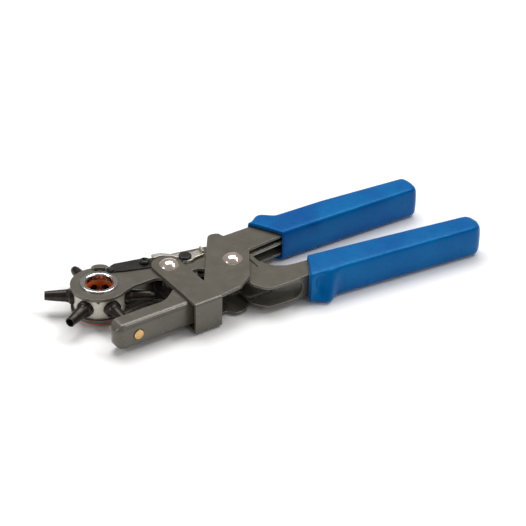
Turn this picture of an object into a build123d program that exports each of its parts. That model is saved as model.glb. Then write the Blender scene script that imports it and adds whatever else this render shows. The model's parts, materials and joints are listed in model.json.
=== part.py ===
from build123d import *
import math
import os

# Rotary leather punch pliers, millimetres, +Z up, lying flat with the handles toward +X.
# The plan is drawn about the turret axis, with z = 0 midway between the cheeks.
# At the end every piece is moved so that the origin is the bottom centre of the whole box.

# Places in plan (x, y)
TURRET = (0.0, 0.0)
FRONT_PIVOT = (40.8, -6.8)
REAR_PIVOT = (73.2, -21.0)
LATCH_PIVOT = (52.1, -5.2)
SCREW_AT = (31.0, 3.3)
DRIVE_PIN_AT = (62.7, -17.0)
FRONT_SPRING_PIN_AT = (78.2, -11.8)
REAR_SPRING_PIN_AT = (150.0, -6.4)

# Levels of the sheet metal, each the outer face of an upper cheek (the lower one mirrors it)
BRACKET_TOP = 9.7
ARM_TOP = 7.9
JAW_TOP = 7.8
HANDLE_TOP = 6.8
EAR_TOP = 6.0
UPPER_CHANNEL_TOP = 6.55
TAIL_TOP = 4.2
SHEET = 1.8
THIN_SHEET = 1.5
RUN = 0.1
BREAK_EDGE = 0.35

# Turret
CHEEK_R = 16.0
DRUM_R = 14.4
DRUM_HALF = ARM_TOP - SHEET - RUN
DRUM_BORE_R = 8.0
EYELET_R = 10.3
EYELET_HIGH = 1.15
EYELET_HOLE_R = 7.6
EYELET_LOWER_HOLE_R = 8.1
EYELET_COLLAR_R = 9.3
CUP_R = 7.9
CUP_WALL = 0.8
CUP_WINDOW_R = 3.0
CUP_FLANGE_R = 13.5
CUP_BOTTOM = 10.4
PUNCH_COUNT = 6
PUNCH_TIP_R = 30.0
PUNCH_BOSS_R = 4.7
FIRST_PUNCH_DEG = -92.9
PUNCH_BORES = [2.0, 2.5, 3.0, 3.5, 4.0, 4.5]

# Anvil
PAD_AT_X = -1.5
PAD_FACE_Y = -32.3
PAD_STEM_R = 2.9
NOSE_X = -14.9
NOSE_R = 6.0
JAW_WALL_Y = -43.2
BRACKET_WALL_Y = -49.0
BRACKET_BEND_R = 1.5
STRIP_LEFT = 31.2
STRIP_RIGHT = 47.9

# Rivets and bushes
RIVET_R = 2.5
RIVET_HEAD_R = 5.75
RIVET_HEAD_HIGH = 2.7
RIVET_FOOT_R = 4.6
RIVET_FOOT_HIGH = 0.8
BUSH_R = 4.0

# Grips
GRIP_HALF = 9.4
GRIP_FIT = 0.05


def outline(corners):
    """A closed face from (x, y, radius) corners, each rounded with its radius."""
    count = len(corners)
    edges = []
    starts = []
    ends = []
    mids = []
    for i in range(count):
        x, y, radius = corners[i]
        before = Vector(*corners[i - 1][:2])
        after = Vector(*corners[(i + 1) % count][:2])
        here = Vector(x, y)
        to_before = (before - here).normalized()
        to_after = (after - here).normalized()
        if radius <= 0:
            starts.append(here)
            ends.append(here)
            mids.append(None)
            continue
        half = math.radians(to_before.get_angle(to_after)) / 2
        reach = radius / math.tan(half)
        starts.append(here + to_before * reach)
        ends.append(here + to_after * reach)
        middle = here + (to_before + to_after).normalized() * (radius / math.sin(half) - radius)
        mids.append(middle)
    for i in range(count):
        if mids[i] is not None:
            edges.append(ThreePointArc(starts[i], mids[i], ends[i]))
        follow = starts[(i + 1) % count]
        if (follow - ends[i]).length > 1e-4:
            edges.append(Line(ends[i], follow))
    return make_face(Curve() + edges)


def slab(face, low, high):
    """The plan face as a plate from z = low to z = high."""
    return Pos(0, 0, low) * extrude(face, high - low)


def softened(plate, radius=BREAK_EDGE, upper=True):
    """The plate with the edges of its upper (or lower) face rounded."""
    ring = plate.edges().group_by(Axis.Z)[-1 if upper else 0]
    return fillet(ring, radius)


def cheeks(face, top, thick=SHEET, broken=True):
    """An upper cheek with its outer face at z = top, and its mirror image."""
    plate = slab(face, top - thick, top)
    if broken:
        plate = softened(plate)
    return [plate, mirror(plate, about=Plane.XY)]


def pin(at, radius, low, high):
    """A round pin along Z."""
    return Pos(at[0], at[1], (low + high) / 2) * Cylinder(radius, high - low)


def tube(at, outer, inner, low, high):
    return pin(at, outer, low, high) - pin(at, inner, low - 1, high + 1)


def wall(face, top, thick=SHEET):
    """A web between two cheeks, from the inside of one sheet to the other."""
    return slab(face, -(top - thick / 2), top - thick / 2)


def joined(pieces):
    body = pieces[0]
    for piece in pieces[1:]:
        body = body + piece
    return body


def drilled(body, at, radius):
    return body - pin(at, radius, -30, 30)


def joggle(start, end, high, low, run, thick):
    """A sloping step of sheet beside the line start-end, from level high down to level low."""
    along = Vector(end[0] - start[0], end[1] - start[1])
    across = Vector(-along.Y, along.X).normalized()
    lap = 1.2
    upper_line = [(-lap, high), (0, high), (run, low), (run + lap, low)]
    lower_line = [(step, level - thick) for step, level in reversed(upper_line)]
    points = []
    for step, level in upper_line + lower_line:
        points.append(Vector(start[0], start[1], level) + across * step)
    section = make_face(Polyline(*points, close=True))
    return extrude(section, amount=along.length, dir=along.normalized())


# ---------------------------------------------------------------- upper handle and bracket

STRIP = [
    (STRIP_LEFT, -47.2, 0),
    (STRIP_RIGHT, -47.2, 0),
    (STRIP_RIGHT, 2.6, 8.3),
    (STRIP_LEFT, 2.6, 8.3),
]
WING_TOP = [
    (STRIP_RIGHT - 0.4, -31.4, 0),
    (71.4, 2.2, 5.0),
    (75.2, 7.3, 4.0),
    (80.6, 5.6, 2.5),
    (86.2, -18.2, 3.0),
    (71.6, -40.6, 5.0),
    (62.0, -46.4, 6.0),
    (STRIP_RIGHT - 0.4, -48.0, 0),
]
WING_BOTTOM = [
    (STRIP_RIGHT - 0.4, -31.4, 0),
    (71.4, 2.2, 5.0),
    (75.2, 7.3, 4.0),
    (80.6, 5.6, 2.5),
    (86.2, -18.2, 3.0),
    (72.0, -39.4, 3.5),
    (66.5, -44.8, 4.0),
    (60.0, -45.2, 2.6),
    (56.6, -40.6, 2.4),
    (51.5, -40.9, 2.0),
    (STRIP_RIGHT - 0.4, -44.0, 0),
]
CHANNEL_FAR_Y = 5.6
CHANNEL_NEAR_Y = -14.0
UPPER_CHANNEL = [
    (83.0, -6.0, 0),
    (80.9, CHANNEL_FAR_Y, 0),
    (104.0, CHANNEL_FAR_Y, 6.0),
    (122.0, 1.6, 20.0),
    (194.0, -2.2, 3.0),
    (194.5, -13.2, 3.0),
    (112.0, -12.1, 30.0),
    (88.5, CHANNEL_NEAR_Y, 0),
    (86.4, -14.4, 0),
]


def upper_handle():
    strip = outline(STRIP)
    top = softened(slab(strip + outline(WING_TOP), BRACKET_TOP - SHEET, BRACKET_TOP))
    bottom = softened(slab(strip + outline(WING_BOTTOM), -BRACKET_TOP, SHEET - BRACKET_TOP), upper=False)
    side = Pos((STRIP_LEFT + STRIP_RIGHT) / 2, (BRACKET_WALL_Y - 40) / 2, 0) * Box(
        STRIP_RIGHT - STRIP_LEFT, -BRACKET_WALL_Y - 40, 2 * BRACKET_TOP
    )
    bends = side.edges().filter_by(Axis.X).group_by(Axis.Y)[0]
    side = fillet(bends, BRACKET_BEND_R)
    hollow = Pos((STRIP_LEFT + STRIP_RIGHT) / 2, (BRACKET_WALL_Y - 40) / 2 + SHEET, 0) * Box(
        30, -BRACKET_WALL_Y - 40, 2 * (BRACKET_TOP - SHEET)
    )
    side = side - hollow
    channel = outline(UPPER_CHANNEL)
    plates = cheeks(channel, UPPER_CHANNEL_TOP, THIN_SHEET)
    web = wall(channel - Pos(0, -THIN_SHEET, 0) * channel, UPPER_CHANNEL_TOP, THIN_SHEET)
    web = web & Pos(140, 5, 0) * Box(116, 20, 40)
    step = joggle((80.7, 5.0), (85.7, -14.6), BRACKET_TOP, UPPER_CHANNEL_TOP, 2.6, THIN_SHEET)
    body = joined([top, bottom, side, web, step, mirror(step, about=Plane.XY)] + plates)
    body = drilled(body, FRONT_PIVOT, RIVET_R + 0.05)
    body = drilled(body, REAR_PIVOT, RIVET_R + 0.05)
    return drilled(body, REAR_SPRING_PIN_AT, 1.2)


# ---------------------------------------------------------------- turret arm

ARM_LOBE_R = 15.4
HUMP_AT = (8.0, 12.6)
HUMP_HIGH = 1.3
HUMP_TURN = -33.0
SLOT_AT = (6.9, 11.0)


def arm_plan():
    """The cheek: a disc at the turret, a straight arm and a tail round the rear rivet."""
    disc = Circle(CHEEK_R)
    beam = outline([
        (4.0, 13.3, 0),
        (13.6, 11.4, 14.0),
        (68.4, -0.2, 0),
        (REAR_PIVOT[0] + 7.0, REAR_PIVOT[1] + 12.8, 9.0),
        (REAR_PIVOT[0] + 8.6, REAR_PIVOT[1] - 5.2, 8.0),
        (REAR_PIVOT[0] - 5.3, REAR_PIVOT[1] - 11.7, 8.0),
        (51.0, -13.8, 6.0),
        (44.0, -19.8, 4.0),
        (32.9, -19.8, 1.5),
        (32.9, -12.0, 6.0),
        (14.6, -11.9, 9.0),
        (6.6, -14.3, 0),
        (2.0, -8.0, 0),
    ])
    lobe = Pos(*FRONT_PIVOT) * Circle(ARM_LOBE_R)
    keep = lobe + Pos(10, 0) * Rectangle(44, 60) + Pos(75, 0) * Rectangle(60, 90)
    return disc + (beam & keep)


def turret_arm():
    plan = arm_plan()
    body = cheeks(plan, ARM_TOP, broken=False)
    far = plan - Pos(-0.3, -SHEET, 0) * plan
    web = wall(far & Pos(50.5, 4) * Rectangle(35, 16), ARM_TOP)
    hump = Pos(*HUMP_AT, ARM_TOP - SHEET) * Rot(0, 0, HUMP_TURN) * Ellipse(4.8, 2.8)
    raised = extrude(hump, SHEET + HUMP_HIGH)
    raised = chamfer(raised.edges().group_by(Axis.Z)[-1], 0.5)
    body = joined(body + [web, raised])
    slot = Pos(*SLOT_AT, ARM_TOP) * Rot(0, 0, HUMP_TURN) * Box(6.4, 1.6, 6)
    body = body - slot
    body = drilled(body, TURRET, EYELET_COLLAR_R)
    body = drilled(body, FRONT_PIVOT, RIVET_R + 0.05)
    body = drilled(body, REAR_PIVOT, RIVET_R + 0.05)
    body = body - pin(LATCH_PIVOT, 1.55, 0, 20)
    return body - pin(SCREW_AT, 1.55, 0, 20)


# ---------------------------------------------------------------- turret


def punch_angle(index):
    return FIRST_PUNCH_DEG + 360.0 / PUNCH_COUNT * index


def turret_drum():
    """Barrel with a boss round each punch, necked between bosses and notched on both rims."""
    body = Cylinder(DRUM_R, 2 * DRUM_HALF) - Cylinder(DRUM_BORE_R, 30)
    for i in range(PUNCH_COUNT):
        turn = Rot(0, 0, punch_angle(i))
        seat = turn * Pos(DRUM_R, 0, 0) * Rot(0, 90, 0) * Cylinder(PUNCH_BOSS_R + RUN, 5.0)
        bore = turn * Pos(11, 0, 0) * Rot(0, 90, 0) * Cylinder(3.0, 10)
        body = body - seat - bore
    for i in range(PUNCH_COUNT):
        turn = Rot(0, 0, punch_angle(i) + 30)
        notch = turn * Pos(DRUM_R + 0.2, 0, DRUM_HALF) * Rot(45, 0, 0) * Box(3.0, 3.2, 3.2)
        body = body - notch
    recess = Pos(0, 0, DRUM_HALF) * Cylinder(EYELET_COLLAR_R + 0.1, 2.0)
    body = body - recess
    return body - mirror(recess, about=Plane.XY)


def punch(index):
    """One punch tube: threaded spigot in the drum, collar, tapered barrel with a sharp hollow tip."""
    bore = PUNCH_BORES[index] / 2
    tip = bore + 0.45
    seat = DRUM_R - 2.5
    profile = make_face(Polyline(
        (9.0, bore),
        (9.0, 2.95),
        (seat, 2.95),
        (seat, PUNCH_BOSS_R),
        (seat + 4.2, PUNCH_BOSS_R),
        (seat + 4.9, 3.9),
        (seat + 6.3, 3.5),
        (PUNCH_TIP_R - 2.2, 2.75),
        (PUNCH_TIP_R, tip),
        (PUNCH_TIP_R, bore),
        close=True,
    ))
    solid = revolve(profile, Axis.X)
    return Rot(0, 0, punch_angle(index)) * solid


def eyelet(hole):
    """Chrome collar ring: rolled flange on the cheek, short sleeve into the drum's recess."""
    sleeve = tube(TURRET, EYELET_COLLAR_R - 0.02, hole, ARM_TOP - SHEET - 0.7, ARM_TOP + 0.2)
    flange = tube(TURRET, EYELET_R, hole, ARM_TOP, ARM_TOP + EYELET_HIGH)
    outer = flange.edges().group_by(Axis.Z)[-1].sort_by(SortBy.RADIUS)[-1]
    flange = fillet(outer, 0.5)
    inner = flange.edges().group_by(Axis.Z)[-1].sort_by(SortBy.RADIUS)[0]
    return sleeve + fillet(inner, 1.0)


def chip_cup():
    """Plastic cup up the drum's bore, with a window behind each punch and a rim below."""
    high = DRUM_HALF - 1.2
    sleeve = tube(TURRET, CUP_R - 0.05, CUP_R - CUP_WALL, -CUP_BOTTOM, high)
    for i in range(PUNCH_COUNT):
        window = Rot(0, 0, punch_angle(i)) * Pos(CUP_R, 0, 0) * Rot(0, 90, 0) * Cylinder(CUP_WINDOW_R, 4)
        sleeve = sleeve - window
    rim = Pos(0, 0, -(CUP_BOTTOM + ARM_TOP + 1.25) / 2) * Cylinder(
        CUP_FLANGE_R, CUP_BOTTOM - ARM_TOP - 1.25
    )
    rim = fillet(rim.edges().group_by(Axis.Z)[0], 0.25)
    return sleeve + rim


def index_spring():
    """Flat strip on the upper cheek; its tip bends down into the notch slot."""
    blade_plan = outline([
        (12.0, 4.9, 1.2),
        (13.0, 10.6, 1.8),
        (16.4, 11.4, 2.0),
        (36.4, 6.6, 3.8),
        (34.6, -3.4, 3.8),
        (18.6, 2.0, 8.0),
    ])
    blade = slab(blade_plan, ARM_TOP, ARM_TOP + 0.9)
    tip_section = make_face(Polyline(
        (14.0, 0, ARM_TOP),
        (14.0, 0, ARM_TOP + 0.9),
        (12.4, 0, ARM_TOP + 1.6),
        (10.8, 0, ARM_TOP + 1.5),
        (9.6, 0, ARM_TOP + 0.5),
        (9.3, 0, ARM_TOP + 0.15),
        (9.9, 0, ARM_TOP + 0.1),
        (10.9, 0, ARM_TOP + 0.75),
        (12.4, 0, ARM_TOP + 0.8),
        close=True,
    ))
    tip = Pos(0, 6.8, 0) * extrude(tip_section, 1.5, both=True)
    body = blade + tip - slab(offset(outline(STRIP), 0.3), 0, 20)
    return body - pin(SCREW_AT, 1.55, 0, 20)


def index_screw():
    """Pan head with a cross recess."""
    head_low = ARM_TOP + 0.9
    x, y = SCREW_AT
    head = pin(SCREW_AT, 2.9, head_low, head_low + 2.0)
    head = fillet(head.edges().group_by(Axis.Z)[-1], 1.2)
    shank = pin(SCREW_AT, 1.5, ARM_TOP - SHEET - 1.2, head_low)
    cross = Pos(x, y, head_low + 2.0) * (Box(3.4, 0.8, 2.2) + Box(0.8, 3.4, 2.2))
    return head + shank - cross


# ---------------------------------------------------------------- anvil jaw

JAW = [
    (NOSE_X, -33.3, 4.9),
    (NOSE_X, JAW_WALL_Y, 4.9),
    (38.5, JAW_WALL_Y, 3.0),
    (46.0, -36.0, 4.0),
    (47.4, -12.0, 0),
    (33.0, -12.0, 0),
    (33.3, -24.8, 6.5),
    (21.5, -33.6, 12.0),
    (8.0, -33.3, 0),
]
JAW_JOIN_R = 15.8
EAR_R = 8.4


def jaw_main_plan():
    """Plan of the outer channel, cut away on an arc about the front rivet."""
    return outline(JAW) - Pos(*FRONT_PIVOT) * Circle(JAW_JOIN_R)


def anvil_jaw():
    plan = jaw_main_plan()
    side_view = outline([
        (NOSE_X, -JAW_TOP, NOSE_R),
        (60.0, -JAW_TOP, 0),
        (60.0, JAW_TOP, 0),
        (NOSE_X, JAW_TOP, NOSE_R),
    ])
    block = slab(plan, -JAW_TOP, JAW_TOP) & extrude(Rot(90, 0, 0) * side_view, 80, both=True)
    outer = [
        edge for edge in block.edges().filter_by(lambda e: abs(e.center().Z) > JAW_TOP - 0.01)
        if edge.center().Y < JAW_WALL_Y + 6 and edge.center().X < 36
        and not (edge.center().Y > -34.5 and edge.center().X > -9)
    ]
    block = fillet(outer, 3.2)
    cavity_plan = outline([
        (-12.3, -28.0, 0),
        (-12.3, JAW_WALL_Y + SHEET, 3.2),
        (36.0, JAW_WALL_Y + SHEET, 0),
        (60.0, JAW_WALL_Y + SHEET, 0),
        (60.0, 0.0, 0),
        (-12.3, 0.0, 0),
    ])
    block = block - slab(cavity_plan, -(JAW_TOP - SHEET), JAW_TOP - SHEET)
    ear_plan = (Pos(*FRONT_PIVOT) * Circle(EAR_R)) + outline([
        (32.2, -8.0, 0),
        (47.6, -8.0, 0),
        (54.5, -12.0, 2.0),
        (52.0, -18.5, 3.0),
        (46.4, -21.5, 2.0),
        (46.0, -24.0, 0),
        (33.6, -24.0, 0),
    ])
    ears = cheeks(ear_plan, EAR_TOP - RUN, SHEET, broken=False)
    ring = Pos(*FRONT_PIVOT) * (Circle(JAW_JOIN_R + 2.6) - Circle(JAW_JOIN_R))
    band_plan = ring & outline([
        (33.4, -16.0, 0),
        (46.6, -16.0, 0),
        (46.0, -26.0, 0),
        (33.4, -26.0, 0),
    ])
    band = slab(band_plan, EAR_TOP - RUN - SHEET, JAW_TOP - 0.2)
    ux, uy = DRIVE_PIN_AT[0] - FRONT_PIVOT[0], DRIVE_PIN_AT[1] - FRONT_PIVOT[1]
    tail_angle = math.degrees(math.atan2(uy, ux))
    tail_length = math.hypot(ux, uy)
    tail_plan = Pos(*FRONT_PIVOT) * Rot(0, 0, tail_angle) * (
        Pos(tail_length / 2 + 4.5, 0) * RectangleRounded(tail_length - 1.0, 8.6, 3.6)
    )
    tail = cheeks(tail_plan, TAIL_TOP + 0.1, SHEET, broken=False)
    body = joined([block, band, mirror(band, about=Plane.XY)] + ears + tail)
    body = drilled(body, FRONT_PIVOT, BUSH_R + 0.06)
    slot = Pos(*FRONT_PIVOT, 0) * Rot(0, 0, tail_angle) * Pos(tail_length, 0, 0) * extrude(
        SlotOverall(5.2, 3.7), 10, both=True
    )
    body = body - slot
    stem_hole = Pos(PAD_AT_X, JAW_WALL_Y, 0) * Rot(90, 0, 0) * Cylinder(PAD_STEM_R + 0.4, 8)
    return body - stem_hole


def anvil_pad():
    """Brass pad seated on the outer wall, its stem riveted flush through the wall."""
    base_y = JAW_WALL_Y + SHEET
    length = PAD_FACE_Y - base_y
    pad = Pos(PAD_AT_X, base_y + length / 2, 0) * Rot(90, 0, 0) * Cylinder(5.7, length)
    pad = fillet(pad.edges().group_by(Axis.Y)[-1], 0.5)
    stem_end = JAW_WALL_Y - 0.6
    middle_y = (base_y + stem_end) / 2
    stem = Pos(PAD_AT_X, middle_y, 0) * Rot(90, 0, 0) * Cylinder(PAD_STEM_R, base_y - stem_end)
    stem = fillet(stem.edges().group_by(Axis.Y)[0], 0.3)
    return pad + stem


# ---------------------------------------------------------------- lower handle

HANDLE_MAIN = [
    (112.0, -41.2, 20.0),
    (98.5, -39.6, 8.0),
    (90.6, -35.4, 6.0),
    (86.4, -27.0, 6.0),
    (86.9, -19.2, 0.8),
    (83.6, -19.4, 0.8),
    (83.2, -32.4, 2.0),
    (70.6, -33.2, 3.0),
    (70.0, -44.0, 7.0),
    (75.5, -53.4, 8.0),
    (90.0, -54.2, 20.0),
    (104.0, -53.6, 30.0),
    (198.0, -65.2, 3.0),
    (199.0, -54.4, 3.0),
]
HANDLE_EARS = [
    (90.0, -38.0, 3.0),
    (85.9, -30.0, 5.0),
    (85.6, -16.6, 3.0),
    (81.6, -9.6, 3.6),
    (75.4, -7.9, 3.0),
    (66.0, -12.6, 4.0),
    (60.5, -11.6, 4.0),
    (58.4, -19.0, 4.0),
    (64.0, -25.0, 5.0),
    (70.6, -33.0, 3.0),
    (70.2, -40.0, 3.0),
    (86.0, -41.0, 3.0),
]


def lower_handle():
    main = outline(HANDLE_MAIN)
    plates = cheeks(main, HANDLE_TOP, THIN_SHEET)
    near = main - Pos(0, THIN_SHEET, 0) * main
    web_plan = near & Pos(148.0, -58) * Rectangle(110, 24)
    web = wall(web_plan, HANDLE_TOP, THIN_SHEET)
    bite = Pos(93.0, -54, 0) * Rot(90, 0, 0) * Cylinder(5.0, 12)
    web = web - bite
    ears = cheeks(outline(HANDLE_EARS), EAR_TOP - 0.02, 1.6, broken=False)
    body = joined([web] + plates + ears)
    body = drilled(body, REAR_PIVOT, BUSH_R + 0.06)
    body = drilled(body, DRIVE_PIN_AT, 1.5)
    return drilled(body, FRONT_SPRING_PIN_AT, 1.2)


# ---------------------------------------------------------------- fasteners and springs


def rivet(at):
    """Domed head on the bracket, flat upset foot below."""
    shank = pin(at, RIVET_R, -BRACKET_TOP, BRACKET_TOP)
    ball = (RIVET_HEAD_R ** 2 + RIVET_HEAD_HIGH ** 2) / (2 * RIVET_HEAD_HIGH)
    dome = Pos(at[0], at[1], BRACKET_TOP + RIVET_HEAD_HIGH - ball) * Sphere(ball)
    dome = dome & pin(at, RIVET_HEAD_R - 0.05, BRACKET_TOP, BRACKET_TOP + 5)
    foot = pin(at, RIVET_FOOT_R, -BRACKET_TOP - RIVET_FOOT_HIGH, -BRACKET_TOP)
    foot = chamfer(foot.edges().group_by(Axis.Z)[0], 0.3)
    return joined([shank, dome, foot])


def bush(at):
    return tube(at, BUSH_R, RIVET_R + 0.02, -(ARM_TOP - SHEET), ARM_TOP - SHEET)


def latch_lever():
    """Bent lever: flared thumb end, pivot boss, right arm with an upturned tab."""
    plan = outline([
        (36.9, 3.6, 0.6),
        (37.3, 7.2, 0.8),
        (42.6, 6.2, 3.0),
        (48.2, 0.9, 4.0),
        (54.2, -0.6, 3.0),
        (58.0, -2.8, 2.0),
        (63.8, -2.6, 0.5),
        (63.2, -8.0, 0.5),
        (57.0, -8.4, 2.0),
        (54.0, -9.6, 2.0),
        (49.8, -9.2, 2.5),
        (49.2, -4.2, 2.0),
        (46.2, 0.2, 4.0),
        (41.6, 3.4, 5.0),
    ])
    low = ARM_TOP + 0.7
    plate = softened(slab(plan, low, low + 1.0), 0.3)
    tab = outline([(62.4, -3.3, 0), (63.7, -2.9, 0.2), (63.1, -7.8, 0.2), (61.9, -7.7, 0)])
    body = plate + slab(tab, low + 0.5, low + 2.9)
    return body - pin(LATCH_PIVOT, 1.56, 0, 20)


def latch_washer():
    return tube(LATCH_PIVOT, 4.2, 1.56, ARM_TOP, ARM_TOP + 0.6)


def latch_rivet():
    low = ARM_TOP + 1.8
    head = pin(LATCH_PIVOT, 3.6, low, low + 1.3)
    head = fillet(head.edges().group_by(Axis.Z)[-1], 0.5)
    return head + pin(LATCH_PIVOT, 1.5, ARM_TOP - SHEET - 0.8, low)


def drive_pin():
    return pin(DRIVE_PIN_AT, 1.48, -(EAR_TOP - 0.02), EAR_TOP - 0.02)


def spring_pin(at, half):
    return pin(at, 1.18, -half, half)


def return_spring():
    """Close-wound extension spring between the two spring pins, as a plain tube with eyes."""
    ax, ay = FRONT_SPRING_PIN_AT
    bx, by = REAR_SPRING_PIN_AT
    angle = math.degrees(math.atan2(by - ay, bx - ax))
    length = math.hypot(bx - ax, by - ay)
    coil = Pos(length / 2, 0, 0) * Rot(0, 90, 0) * Cylinder(1.6, length - 6.4)
    eyes = [
        Pos(x, 0, 0) * Torus(1.9, 0.45)
        for x in (0.2, length - 0.2)
    ]
    stubs = [
        Pos(x, 0, 0) * Rot(0, 90, 0) * Cylinder(0.45, 1.4)
        for x in (2.7, length - 2.7)
    ]
    return Pos(ax, ay, 0) * Rot(0, 0, angle) * joined([coil] + eyes + stubs)


# ---------------------------------------------------------------- grips

UPPER_GRIP = [
    (102.4, 6.8, 1.2),
    (106.8, 10.2, 4.0),
    (114.4, 10.6, 4.5),
    (120.8, 4.6, 7.0),
    (150.0, 3.9, 60.0),
    (208.2, -1.7, 4.0),
    (209.0, -16.4, 3.5),
    (113.0, -13.6, 1.2),
]
LOWER_GRIP = [
    (111.6, -39.4, 1.2),
    (213.0, -55.2, 6.5),
    (215.2, -70.6, 5.5),
    (126.0, -60.2, 20.0),
    (118.8, -59.6, 5.0),
    (112.2, -65.4, 4.5),
    (100.6, -59.4, 2.0),
]


def grip(corners, channel, low_x):
    """A sleeve over the end of a channel handle, closed at its far end."""
    block = slab(outline(corners), -GRIP_HALF, GRIP_HALF)
    rims = block.edges().filter_by(lambda e: abs(e.center().Z) > GRIP_HALF - 0.01)
    block = fillet(rims, 2.2)
    room = offset(outline(channel), GRIP_FIT)
    room = room & Pos(low_x + 70, -30) * Rectangle(160, 120)
    return block, room


def upper_grip():
    block, room = grip(UPPER_GRIP, UPPER_CHANNEL, 100)
    half = UPPER_CHANNEL_TOP + GRIP_FIT
    return block - slab(room, -half, half)


def lower_grip():
    block, room = grip(LOWER_GRIP, HANDLE_MAIN, 95)
    half = HANDLE_TOP + GRIP_FIT
    return block - slab(room, -half, half)


# ---------------------------------------------------------------- the whole tool


def all_parts():
    parts = {
        "upper_handle": upper_handle(),
        "turret_arm": turret_arm(),
        "turret_drum": turret_drum(),
        "upper_eyelet": eyelet(EYELET_HOLE_R),
        "lower_eyelet": mirror(eyelet(EYELET_LOWER_HOLE_R), about=Plane.XY),
        "chip_cup": chip_cup(),
        "index_spring": index_spring(),
        "index_screw": index_screw(),
        "anvil_jaw": anvil_jaw(),
        "anvil_pad": anvil_pad(),
        "front_rivet": rivet(FRONT_PIVOT),
        "rear_rivet": rivet(REAR_PIVOT),
        "front_bush": bush(FRONT_PIVOT),
        "rear_bush": bush(REAR_PIVOT),
        "latch_lever": latch_lever(),
        "latch_washer": latch_washer(),
        "latch_rivet": latch_rivet(),
        "lower_handle": lower_handle(),
        "drive_pin": drive_pin(),
        "return_spring": return_spring(),
        "front_spring_pin": spring_pin(FRONT_SPRING_PIN_AT, EAR_TOP - 0.02),
        "rear_spring_pin": spring_pin(REAR_SPRING_PIN_AT, UPPER_CHANNEL_TOP),
        "upper_grip": upper_grip(),
        "lower_grip": lower_grip(),
    }
    for i in range(PUNCH_COUNT):
        size = str(PUNCH_BORES[i]).replace(".", "_")
        parts[f"punch_{size}mm"] = punch(i)
    return parts


def whole_box(parts):
    boxes = [part.bounding_box() for part in parts.values()]
    low = [min(getattr(b.min, k) for b in boxes) for k in "XYZ"]
    high = [max(getattr(b.max, k) for b in boxes) for k in "XYZ"]
    return low, high


PARTS = all_parts()
LOW, HIGH = whole_box(PARTS)
SHIFT = (-(LOW[0] + HIGH[0]) / 2, -(LOW[1] + HIGH[1]) / 2, -LOW[2])

os.makedirs("parts", exist_ok=True)
for name, shape in PARTS.items():
    export_step(Pos(*SHIFT) * shape, f"parts/{name}.step")
print("shift", [round(v, 4) for v in SHIFT])
print("size", [round(b - a, 2) for a, b in zip(LOW, HIGH)])
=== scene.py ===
import json
import math

import bmesh
import bpy
import numpy as np
from mathutils import Matrix, Vector


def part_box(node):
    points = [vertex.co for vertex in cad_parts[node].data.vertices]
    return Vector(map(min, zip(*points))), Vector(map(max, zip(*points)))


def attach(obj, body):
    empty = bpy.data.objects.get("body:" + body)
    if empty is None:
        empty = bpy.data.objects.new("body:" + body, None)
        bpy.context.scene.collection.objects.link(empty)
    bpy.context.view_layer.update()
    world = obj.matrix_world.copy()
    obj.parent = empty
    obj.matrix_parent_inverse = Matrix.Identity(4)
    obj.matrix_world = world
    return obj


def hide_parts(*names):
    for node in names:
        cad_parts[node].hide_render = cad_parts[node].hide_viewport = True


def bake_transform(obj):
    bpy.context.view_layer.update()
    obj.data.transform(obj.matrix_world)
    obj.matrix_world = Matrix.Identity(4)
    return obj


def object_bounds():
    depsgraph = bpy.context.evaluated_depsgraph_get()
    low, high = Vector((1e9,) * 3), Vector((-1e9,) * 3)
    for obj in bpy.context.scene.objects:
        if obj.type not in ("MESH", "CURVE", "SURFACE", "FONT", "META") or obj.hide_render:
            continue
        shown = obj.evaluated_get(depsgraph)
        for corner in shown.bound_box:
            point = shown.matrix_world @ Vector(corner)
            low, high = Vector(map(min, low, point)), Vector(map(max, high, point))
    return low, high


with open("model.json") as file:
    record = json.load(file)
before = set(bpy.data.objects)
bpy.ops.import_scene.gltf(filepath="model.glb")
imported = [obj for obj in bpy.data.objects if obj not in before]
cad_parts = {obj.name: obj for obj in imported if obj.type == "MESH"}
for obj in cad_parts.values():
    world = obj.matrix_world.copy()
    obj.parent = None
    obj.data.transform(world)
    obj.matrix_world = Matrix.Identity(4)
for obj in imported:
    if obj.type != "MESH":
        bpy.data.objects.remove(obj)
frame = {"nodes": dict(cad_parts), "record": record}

CAD_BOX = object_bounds()
MM = 0.001


def middle(node):
    low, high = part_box(node)
    return (low + high) / 2


# The plan is drawn in millimetres about the turret's axis, with z = 0 midway between the cheeks.
TURRET = middle("turret_drum")


def at(x, y, z=0.0):
    """A place in the tool's own millimetres, as a point in the frame."""
    return TURRET + Vector((x, y, z)) * MM


# ---------------------------------------------------------------- node helpers


def new_material(name):
    """An empty material with its output and shader, and the mesh's own coordinates."""
    material = bpy.data.materials.new(name)
    material.use_nodes = True
    tree = material.node_tree
    tree.nodes.clear()
    output = tree.nodes.new("ShaderNodeOutputMaterial")
    shader = tree.nodes.new("ShaderNodeBsdfPrincipled")
    tree.links.new(shader.outputs["BSDF"], output.inputs["Surface"])
    coordinates = tree.nodes.new("ShaderNodeTexCoord").outputs["Object"]
    return material, tree, shader, coordinates


def put(tree, kind, inputs, **settings):
    """A new node; inputs are values, or the sockets that feed them."""
    node = tree.nodes.new(kind)
    for key, value in settings.items():
        setattr(node, key, value)
    for key, value in inputs.items():
        if isinstance(value, bpy.types.NodeSocket):
            tree.links.new(value, node.inputs[key])
        else:
            node.inputs[key].default_value = value
    return node


def noise(tree, coordinates, scale, detail=3.0, roughness=0.5, stretch=None):
    """Noise from 0 to 1, with scale in cells per metre."""
    if stretch:
        coordinates = put(tree, "ShaderNodeMapping", {"Vector": coordinates, "Scale": stretch})
        coordinates = coordinates.outputs["Vector"]
    inputs = {"Vector": coordinates, "Scale": scale, "Detail": detail, "Roughness": roughness}
    return put(tree, "ShaderNodeTexNoise", inputs).outputs["Fac"]


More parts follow.
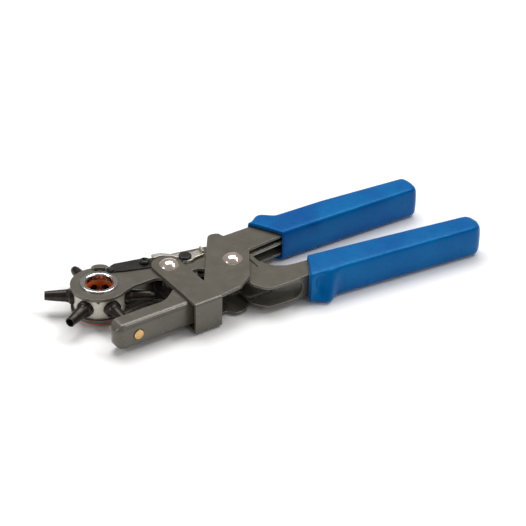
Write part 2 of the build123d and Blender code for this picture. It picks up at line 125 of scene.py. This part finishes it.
def between(tree, value, low, high, out_low=0.0, out_high=1.0):
    """The value's stretch from low to high, as out_low to out_high, clamped."""
    inputs = {
        "Value": value,
        "From Min": low,
        "From Max": high,
        "To Min": out_low,
        "To Max": out_high,
    }
    return put(tree, "ShaderNodeMapRange", inputs, clamp=True).outputs["Result"]


def mixed(tree, factor, first, second):
    """Colour first where factor is 0, and second where it is 1."""
    node = put(tree, "ShaderNodeMix", {}, data_type="RGBA")
    for socket, value in ((0, factor), (6, first), (7, second)):
        if isinstance(value, bpy.types.NodeSocket):
            tree.links.new(value, node.inputs[socket])
        elif socket == 0:
            node.inputs[socket].default_value = value
        else:
            node.inputs[socket].default_value = (*value, 1.0)
    return node.outputs[2]


def calculated(tree, operation, first, second):
    return put(tree, "ShaderNodeMath", {0: first, 1: second}, operation=operation).outputs[0]


def bumped(tree, height, strength, depth, normal=None):
    inputs = {"Height": height, "Strength": strength, "Distance": depth}
    if normal:
        inputs["Normal"] = normal
    return put(tree, "ShaderNodeBump", inputs).outputs["Normal"]


def rounded_edges(tree, radius):
    """The normal with sharp edges rounded over, and how near a place is to such an edge."""
    soft = put(tree, "ShaderNodeBevel", {"Radius": radius}, samples=6).outputs["Normal"]
    flat = tree.nodes.new("ShaderNodeNewGeometry").outputs["Normal"]
    node = put(tree, "ShaderNodeVectorMath", {0: soft, 1: flat}, operation="DOT_PRODUCT")
    near = between(tree, node.outputs["Value"], 0.975, 0.78)
    return soft, near


# ---------------------------------------------------------------- materials


def steel_paint():
    """Warm grey powder coat: orange peel, faint blotches and paler edges, a painted highlight broken up by
    noise.
    """
    material, tree, shader, here = new_material("powder_coat")
    soft, edge = rounded_edges(tree, 0.5 * MM)
    blotch = noise(tree, here, 70, 4.0, 0.6)
    speck = noise(tree, here, 2600, 2.0, 0.6)
    tone = mixed(tree, between(tree, blotch, 0.35, 0.68), (0.100, 0.090, 0.071), (0.119, 0.108, 0.087))
    tone = mixed(tree, between(tree, speck, 0.60, 0.74), tone, (0.135, 0.123, 0.101))
    # Painted highlight: a paler tone along the sheet edges, broken up by noise, where the edges would catch
    # the light.
    painted_edge_highlight = calculated(tree, "MULTIPLY", edge, between(tree, noise(tree, here, 260, 3.0), 0.18, 0.52))
    tone = mixed(tree, painted_edge_highlight, tone, (0.40, 0.37, 0.32))
    tree.links.new(tone, shader.inputs["Base Color"])
    gloss = between(tree, noise(tree, here, 190, 3.0), 0.25, 0.75, 0.19, 0.30)
    tree.links.new(gloss, shader.inputs["Roughness"])
    shader.inputs["Metallic"].default_value = 0.10
    shader.inputs["Specular IOR Level"].default_value = 0.55
    peel = noise(tree, here, 900, 2.0, 0.5)
    normal = bumped(tree, peel, 0.25, 0.035 * MM, soft)
    tree.links.new(bumped(tree, speck, 0.10, 0.010 * MM, normal), shader.inputs["Normal"])
    return material


def blue_vinyl():
    """Satin blue dip-moulded vinyl: fine grain, a little mottling and soft translucence."""
    material, tree, shader, here = new_material("blue_vinyl")
    cloud = noise(tree, here, 34, 3.0, 0.55)
    fine = noise(tree, here, 1500, 3.0, 0.6)
    tone = mixed(tree, between(tree, cloud, 0.36, 0.66), (0.000, 0.075, 0.285), (0.000, 0.118, 0.345))
    tone = mixed(tree, between(tree, fine, 0.62, 0.78), tone, (0.000, 0.150, 0.420))
    tree.links.new(tone, shader.inputs["Base Color"])
    gloss = between(tree, noise(tree, here, 240, 4.0), 0.28, 0.72, 0.24, 0.36)
    tree.links.new(gloss, shader.inputs["Roughness"])
    shader.inputs["Specular IOR Level"].default_value = 0.45
    shader.inputs["Specular Tint"].default_value = (0.05, 0.42, 0.85, 1.0)
    shader.inputs["Subsurface Weight"].default_value = 0.03
    shader.inputs["Subsurface Radius"].default_value = (0.2 * MM, 0.6 * MM, 1.4 * MM)
    shader.inputs["Subsurface Scale"].default_value = 1.0
    flow = noise(tree, here, 60, 2.0, 0.5, (0.35, 1.0, 1.0))
    normal = bumped(tree, flow, 0.12, 0.35 * MM)
    tree.links.new(bumped(tree, fine, 0.12, 0.015 * MM, normal), shader.inputs["Normal"])
    return material


def metal(name, dark, pale, rough_low, rough_high, grain, depth, metallic=1.0, edge_wear_and_highlight_tone=None):
    """A metal with a fine grain, tarnish between two tones and uneven polish; an edge tone, if given, pales
    the edges, partly as wear and partly as a painted highlight.
    """
    material, tree, shader, here = new_material(name)
    soft, edge = rounded_edges(tree, 0.2 * MM)
    tarnish = noise(tree, here, 240, 4.0, 0.6)
    tone = mixed(tree, between(tree, tarnish, 0.32, 0.68), dark, pale)
    if edge_wear_and_highlight_tone:
        # The edge tone is wear on the dark finishes, and a painted highlight, the bright rim, on the
        # polished rivets.
        wear_and_highlight = calculated(tree, "MULTIPLY", edge, between(tree, tarnish, 0.25, 0.6))
        tone = mixed(tree, wear_and_highlight, tone, edge_wear_and_highlight_tone)
    tree.links.new(tone, shader.inputs["Base Color"])
    gloss = between(tree, noise(tree, here, 700, 3.0), 0.3, 0.7, rough_low, rough_high)
    tree.links.new(gloss, shader.inputs["Roughness"])
    shader.inputs["Metallic"].default_value = metallic
    surface = noise(tree, here, grain, 3.0, 0.6)
    tree.links.new(bumped(tree, surface, 0.35, depth, soft), shader.inputs["Normal"])
    return material


def plastic(name, dark, pale, rough_low, rough_high):
    """Moulded plastic with a fine spark-eroded grain, a painted highlight on its edges and painted shade
    where it hides itself from the light.
    """
    material, tree, shader, here = new_material(name)
    soft, edge = rounded_edges(tree, 0.2 * MM)
    cloud = noise(tree, here, 120, 3.0)
    tone = mixed(tree, between(tree, cloud, 0.35, 0.65), dark, pale)
    # Painted highlight: the edges are lightened towards the pale tone.
    tone = mixed(tree, calculated(tree, "MULTIPLY", edge, 0.4), tone, pale)
    # Painted shade: the base colour goes dark where the part occludes itself, as inside the chip cup.
    shade = put(tree, "ShaderNodeAmbientOcclusion", {"Distance": 9 * MM}, samples=6, only_local=True)
    open_air = between(tree, shade.outputs["AO"], 0.70, 0.97)
    painted_shade_tone = tuple(channel * 0.22 for channel in dark)
    tree.links.new(mixed(tree, open_air, painted_shade_tone, tone), shader.inputs["Base Color"])
    gloss = between(tree, noise(tree, here, 500, 3.0), 0.3, 0.7, rough_low, rough_high)
    tree.links.new(gloss, shader.inputs["Roughness"])
    grain = noise(tree, here, 2200, 2.0)
    tree.links.new(bumped(tree, grain, 0.25, 0.02 * MM, soft), shader.inputs["Normal"])
    return material


MATERIALS = {
    "body_paint": steel_paint(),
    "blue_grip": blue_vinyl(),
    "drum_zinc": metal(
        "cast_zinc", (0.56, 0.53, 0.45), (0.72, 0.69, 0.61), 0.38, 0.52,
        grain=1300, depth=0.07 * MM, metallic=0.65, edge_wear_and_highlight_tone=(0.8, 0.78, 0.7),
    ),
    "punch_oxide": metal(
        "black_oxide", (0.024, 0.019, 0.016), (0.046, 0.037, 0.031), 0.24, 0.38,
        grain=1600, depth=0.02 * MM, metallic=0.7, edge_wear_and_highlight_tone=(0.16, 0.13, 0.11),
    ),
    "chrome": metal(
        "chrome", (0.70, 0.70, 0.69), (0.80, 0.80, 0.79), 0.05, 0.10,
        grain=1200, depth=0.002 * MM,
    ),
    "orange_plastic": plastic("orange_plastic", (0.72, 0.115, 0.018), (0.86, 0.17, 0.035), 0.32, 0.45),
    "black_steel": metal(
        "black_steel", (0.016, 0.014, 0.013), (0.032, 0.029, 0.027), 0.28, 0.42,
        grain=1500, depth=0.02 * MM, metallic=0.55, edge_wear_and_highlight_tone=(0.17, 0.16, 0.15),
    ),
    "brass": metal(
        "brass", (0.56, 0.33, 0.12), (0.72, 0.46, 0.20), 0.22, 0.36,
        grain=1500, depth=0.015 * MM, metallic=0.85,
    ),
    # The pale edge tone here is a painted highlight: the rivets' bright rim.
    "rivet_nickel": metal(
        "polished_nickel", (0.66, 0.55, 0.48), (0.80, 0.69, 0.62), 0.12, 0.20,
        grain=1100, depth=0.003 * MM, metallic=0.80, edge_wear_and_highlight_tone=(0.95, 0.88, 0.82),
    ),
    "zinc_plate": metal(
        "zinc_plate", (0.42, 0.40, 0.34), (0.58, 0.56, 0.49), 0.26, 0.40,
        grain=1500, depth=0.02 * MM, metallic=0.9, edge_wear_and_highlight_tone=(0.75, 0.73, 0.66),
    ),
}


def paint_nodes():
    """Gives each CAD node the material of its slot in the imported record."""
    for entry in frame["record"]["subparts"]:
        node = frame["nodes"][entry["node"]]
        for held in node.material_slots:
            held.material = MATERIALS[entry["material_slot"]]


paint_nodes()

# ---------------------------------------------------------------- mesh helpers


def skinned(name, rings, close_start, close_end):
    """A closed mesh over rings of equally many points; close_start and close_end are its two end points."""
    mesh = bmesh.new()
    loops = [[mesh.verts.new(point) for point in ring] for ring in rings]
    count = len(rings[0])
    for first, second in zip(loops, loops[1:]):
        for i in range(count):
            j = (i + 1) % count
            mesh.faces.new((first[i], first[j], second[j], second[i]))
    for loop, tip in ((loops[0], close_start), (loops[-1], close_end)):
        centre = mesh.verts.new(tip)
        for i in range(count):
            mesh.faces.new((loop[i], loop[(i + 1) % count], centre))
    bmesh.ops.recalc_face_normals(mesh, faces=mesh.faces)
    data = bpy.data.meshes.new(name)
    mesh.to_mesh(data)
    mesh.free()
    for face in data.polygons:
        face.use_smooth = True
    piece = bpy.data.objects.new(name, data)
    bpy.context.scene.collection.objects.link(piece)
    return piece


def tube(name, path, radius, sides):
    """A round wire along the path's points, with its ends closed."""
    rings = []
    across = Vector((0, 0, 1))
    for i, point in enumerate(path):
        ahead = (path[min(i + 1, len(path) - 1)] - path[max(i - 1, 0)]).normalized()
        across = (across - ahead * across.dot(ahead)).normalized()
        beside = ahead.cross(across)
        ring = []
        for k in range(sides):
            turn = 2 * math.pi * k / sides
            ring.append(point + (across * math.cos(turn) + beside * math.sin(turn)) * radius)
        rings.append(ring)
    return skinned(name, rings, path[0], path[-1])


def dress(piece, slot_name):
    piece.data.materials.append(MATERIALS[slot_name])


# ---------------------------------------------------------------- grips

# Both grips are one moulding: the lower one is turned over, so its guard and scoop swap sides.
GRIP_HALF = 9.4
GRIP_RIM_R = 2.1
GRIP_CROWN = 0.3
FRONT_SLANT = 10.8
SLANT_FADES_OVER = 70.0
END_RISE = 1.2
END_STEPS = 6
END_CORNER_GROWS = 1.2
END_Z_INSET = 2.4
SLEEVE_R = 0.7
SLEEVE_STOPS_SHORT = 4.0
LIP_R = 1.0
LIP_INSET = 1.1
LIP_BACK = 0.55
RIM_INSET = 0.35
RIM_BACK = 0.4
GUARD_AT = 8.6
GUARD_OUT = 4.3
GUARD_STARTS = 0.6
GUARD_FALLS_OVER = 8.4
GUARD_LEAN = 2.2
GUARD_MID_SHARE = 0.60
GUARD_TILT_SHARE = 0.52
GUARD_SAG_SHARE = 0.12
SCOOP_AT = 6.4
SCOOP_DEEP = 3.0
SCOOP_LONG = 3.2
SCOOP_LEVEL = -0.15
SCOOP_TALL = 0.62


def eased(t):
    t = min(max(t, 0.0), 1.0)
    return t * t * (3 - 2 * t)


def section(width, half, radius, crown):
    """A rounded rectangle from a = 0 to a = width, with slightly crowned sides, as (a, z) points."""
    centres = [
        (width - radius, half - radius),
        (radius, half - radius),
        (radius, radius - half),
        (width - radius, radius - half),
    ]
    corner_steps = 5
    side_steps = 7
    points = []
    for quarter, (ca, cz) in enumerate(centres):
        for k in range(corner_steps):
            turn = math.pi / 2 * (quarter + k / (corner_steps - 1))
            points.append((ca + radius * math.cos(turn), cz + radius * math.sin(turn)))
        next_a, next_z = centres[(quarter + 1) % 4]
        turn = math.pi / 2 * (quarter + 1)
        out_a, out_z = math.cos(turn), math.sin(turn)
        for k in range(1, side_steps):
            t = k / side_steps
            lift = radius + crown * 4 * t * (1 - t)
            points.append((ca + (next_a - ca) * t + out_a * lift, cz + (next_z - cz) * t + out_z * lift))
    return points


def guard(along, level):
    """How far the finger guard stands out, along millimetres from the front; level is -1 to 1."""
    peak = GUARD_AT + GUARD_LEAN * (1 - level)
    before = eased((along - GUARD_STARTS) / (peak - GUARD_STARTS))
    after = 1 - eased((along - peak) / GUARD_FALLS_OVER)
    share = GUARD_MID_SHARE + GUARD_TILT_SHARE * level - GUARD_SAG_SHARE * level * level
    height = GUARD_OUT * share
    bulge = height * before * after
    far_along = (along - SCOOP_AT) / SCOOP_LONG
    far_up = (level - SCOOP_LEVEL) / SCOOP_TALL
    dip = math.exp(-far_along ** 2 - far_up ** 4)
    return bulge - SCOOP_DEEP * dip


def grip(
    name, body, flip, front_x, end_x, end_slant, end_r,
    guard_line, inner_line, sleeve_lines, sleeve_half,
):
    """A moulded sleeve; lines are (x, y) points along its guard side and its inner side."""

    def y_on(line, x):
        xs, ys = zip(*line)
        return float(np.interp(x, xs, ys))

    def station(x, lines, half, radius, crown, inset=0.0, forward=0.0, guarded=True, z_inset=None):
        fade = eased((x - front_x) / SLANT_FADES_OVER)
        inner_x = x + FRONT_SLANT * (1 - fade) + end_slant * fade
        outer = Vector((x, y_on(lines[0], x)))
        inner = Vector((inner_x, y_on(lines[1], inner_x)))
        across = (outer - inner).normalized()
        ahead = Vector((across.y, -across.x)) * flip
        width = (outer - inner).length - 2 * inset
        half = half - (inset if z_inset is None else z_inset)
        ring = []
        for a, z in section(width, half, min(radius, half, width / 2), crown):
            place = inner + across * (a + inset) + ahead * forward
            if guarded:
                side = eased((a / width - 0.55) / 0.42)
                place.y += flip * guard(x - front_x, flip * z / half) * side
            ring.append(at(place.x, place.y, z))
        return ring

    lines = (guard_line, inner_line)
    rings = []
    sleeve_steps = 26
    for k in range(sleeve_steps):
        done = k / (sleeve_steps - 1)
        x = end_x - SLEEVE_STOPS_SHORT + (front_x - end_x + SLEEVE_STOPS_SHORT) * done
        rings.append(station(x, sleeve_lines, sleeve_half, SLEEVE_R, 0.0, guarded=False))
    rings.append(station(
        front_x, lines, GRIP_HALF, LIP_R, 0.0,
        inset=LIP_INSET, forward=-LIP_BACK, guarded=False,
    ))
    rings.append(station(
        front_x, lines, GRIP_HALF, GRIP_RIM_R, 0.0,
        inset=RIM_INSET, forward=-RIM_BACK,
    ))
    first_step = 0.7
    fine_step = 0.85
    fine_count = 26
    long_count = 26
    along = [0.0, first_step]
    along += [first_step + fine_step * k for k in range(1, fine_count + 1)]
    length = end_x - front_x
    along += [along[-1] + (length - along[-1]) * k / long_count for k in range(1, long_count + 1)]
    for step in along:
        rings.append(station(front_x + step, lines, GRIP_HALF, GRIP_RIM_R, GRIP_CROWN))
    for k in range(1, END_STEPS + 1):
        turn = math.pi / 2 * k / END_STEPS
        shrink = 1 - math.cos(turn)
        rings.append(station(
            end_x, lines, GRIP_HALF, GRIP_RIM_R + END_CORNER_GROWS * shrink, GRIP_CROWN,
            inset=end_r * shrink, z_inset=END_Z_INSET * shrink, forward=end_r * math.sin(turn),
        ))
    last = rings[-1]
    centre = sum(last, Vector()) / len(last)
    outward = (centre - sum(rings[-2], Vector()) / len(last)).normalized()
    reach = END_RISE * MM
    for share in (0.8, 0.55, 0.28):
        lift = outward * reach * (1 - share * share)
        rings.append([centre + (point - centre) * share + lift for point in last])
    start = sum(rings[0], Vector()) / len(last)
    piece = skinned(name, rings, start, centre + outward * reach)
    smooth = piece.modifiers.new("smooth", "SUBSURF")
    smooth.levels = smooth.render_levels = 1
    dress(piece, "blue_grip")
    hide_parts(name.replace("_vinyl", ""))
    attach(piece, body)


grip(
    "upper_grip_vinyl", "frame", 1, 102.0, 203.2, -0.7, 4.0,
    guard_line=[(102.0, 6.9), (112.0, 6.3), (121.0, 4.9), (150.0, 3.9), (207.0, -1.7)],
    inner_line=[(112.0, -13.6), (150.0, -14.6), (208.0, -16.5)],
    sleeve_lines=(
        [(100.0, 5.8), (104.0, 5.8), (122.0, 1.9), (196.0, -2.0)],
        [(100.0, -12.6), (196.0, -13.5)],
    ),
    sleeve_half=6.7,
)
grip(
    "lower_grip_vinyl", "handle", -1, 100.4, 206.4, 2.0, 5.5,
    guard_line=[(100.4, -58.7), (112.0, -59.7), (121.0, -60.3), (214.0, -70.1)],
    inner_line=[(111.0, -39.3), (150.0, -45.2), (215.0, -55.6)],
    sleeve_lines=(
        [(98.0, -54.2), (104.0, -54.2), (203.0, -66.2)],
        [(98.0, -38.9), (112.0, -40.9), (203.0, -54.7)],
    ),
    sleeve_half=6.95,
)

# ---------------------------------------------------------------- return spring

COIL_R = 1.22
WIRE_R = 0.36
COIL_PITCH = 0.75
EYE_R = 1.75
EYE_REACH = 3.4
EYE_ARC = 200
COIL_START_SHARE = 0.25


def return_spring():
    """A close-wound extension spring with an eye round each pin."""
    front = middle("front_spring_pin") / MM
    rear = middle("rear_spring_pin") / MM
    run = rear - front
    length = run.length
    along = run.normalized()
    beside = Vector((-along.y, along.x, 0))
    up = Vector((0, 0, 1))
    spots = []
    eye_steps = 18
    turn_steps = 14
    for k in range(eye_steps + 1):
        turn = math.radians(EYE_ARC - EYE_ARC * k / eye_steps)
        spots.append((EYE_R * math.cos(turn), EYE_R * math.sin(turn), 0.0))
    coil_length = length - 2 * EYE_REACH
    steps = int(coil_length / COIL_PITCH) * turn_steps
    for k in range(steps + 1):
        turn = 2 * math.pi * k / turn_steps
        grown = min(1.0, k / turn_steps, (steps - k) / turn_steps)
        radius = COIL_R * (COIL_START_SHARE + (1 - COIL_START_SHARE) * grown)
        x = EYE_REACH + coil_length * k / steps
        spots.append((x, radius * math.sin(turn), radius * math.cos(turn)))
    for k in range(eye_steps + 1):
        turn = math.radians(180 + EYE_ARC * k / eye_steps)
        spots.append((length + EYE_R * math.cos(turn), EYE_R * math.sin(turn), 0.0))
    path = [(front + along * x + beside * y + up * z) * MM for x, y, z in spots]
    piece = tube("return_spring_coil", path, WIRE_R * MM, 8)
    dress(piece, "zinc_plate")
    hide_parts("return_spring")
    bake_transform(piece)


return_spring()

# ---------------------------------------------------------------- camera, floor and light

LOOK_AZIMUTH = math.radians(34.743)
LOOK_DOWN = math.radians(33.011)
ROLL = math.radians(0.9)
CAMERA_DISTANCE = 1.3
LENS = 159.16
LOOK_AT = at(93.184, -21.763, 0)


def add_camera():
    cos_down = math.cos(LOOK_DOWN)
    ahead = Vector((
        math.sin(LOOK_AZIMUTH) * cos_down,
        math.cos(LOOK_AZIMUTH) * cos_down,
        -math.sin(LOOK_DOWN),
    ))
    right = Vector((math.cos(LOOK_AZIMUTH), -math.sin(LOOK_AZIMUTH), 0))
    up = right.cross(ahead)
    rolled_right = right * math.cos(ROLL) + up * math.sin(ROLL)
    rolled_up = up * math.cos(ROLL) - right * math.sin(ROLL)
    turn = Matrix((rolled_right, rolled_up, -ahead)).transposed()
    data = bpy.data.cameras.new("camera")
    data.lens = LENS
    data.sensor_width = 36
    data.clip_start = 0.01
    data.clip_end = 20
    camera = bpy.data.objects.new("camera", data)
    camera.matrix_world = Matrix.Translation(LOOK_AT - ahead * CAMERA_DISTANCE) @ turn.to_4x4()
    bpy.context.scene.collection.objects.link(camera)
    bpy.context.scene.camera = camera


def add_floor():
    half = 3.0
    mesh = bpy.data.meshes.new("floor")
    low = CAD_BOX[0][2]
    corners = [(-half, -half, low), (half, -half, low), (half, half, low), (-half, half, low)]
    mesh.from_pydata(corners, [], [(0, 1, 2, 3)])
    floor = bpy.data.objects.new("floor", mesh)
    bpy.context.scene.collection.objects.link(floor)
    material, tree, shader, here = new_material("floor_paper")
    tone = mixed(tree, noise(tree, here, 6, 2.0), (0.95, 0.95, 0.95), (0.97, 0.97, 0.97))
    tree.links.new(tone, shader.inputs["Base Color"])
    shader.inputs["Roughness"].default_value = 0.9
    shader.inputs["Specular IOR Level"].default_value = 0.1
    mesh.materials.append(material)


def add_softbox(name, place, size_x, size_y, power):
    """A soft area light that looks at the middle of the tool."""
    data = bpy.data.lights.new(name, "AREA")
    data.shape = "RECTANGLE"
    data.size = size_x
    data.size_y = size_y
    data.energy = power
    lamp = bpy.data.objects.new(name, data)
    lamp.location = place
    lamp.rotation_euler = (LOOK_AT - Vector(place)).to_track_quat("-Z", "Y").to_euler()
    bpy.context.scene.collection.objects.link(lamp)


def add_light():
    world = bpy.data.worlds.new("studio")
    world.use_nodes = True
    background = world.node_tree.nodes["Background"]
    background.inputs["Color"].default_value = (1.0, 0.985, 0.96, 1.0)
    background.inputs["Strength"].default_value = 0.26
    bpy.context.scene.world = world
    add_softbox("overhead", (0.25, 0.55, 1.3), 1.1, 0.8, 15)
    add_softbox("strip", (0.75, -0.25, 1.3), 0.9, 0.22, 7)
    add_softbox("left_side", (-1.2, 0.3, 0.6), 0.5, 0.9, 4)
    add_softbox("front", (0.3, -1.6, 0.9), 0.9, 0.5, 3)
    bpy.context.scene.view_settings.view_transform = "Standard"


add_camera()
add_floor()
add_light()
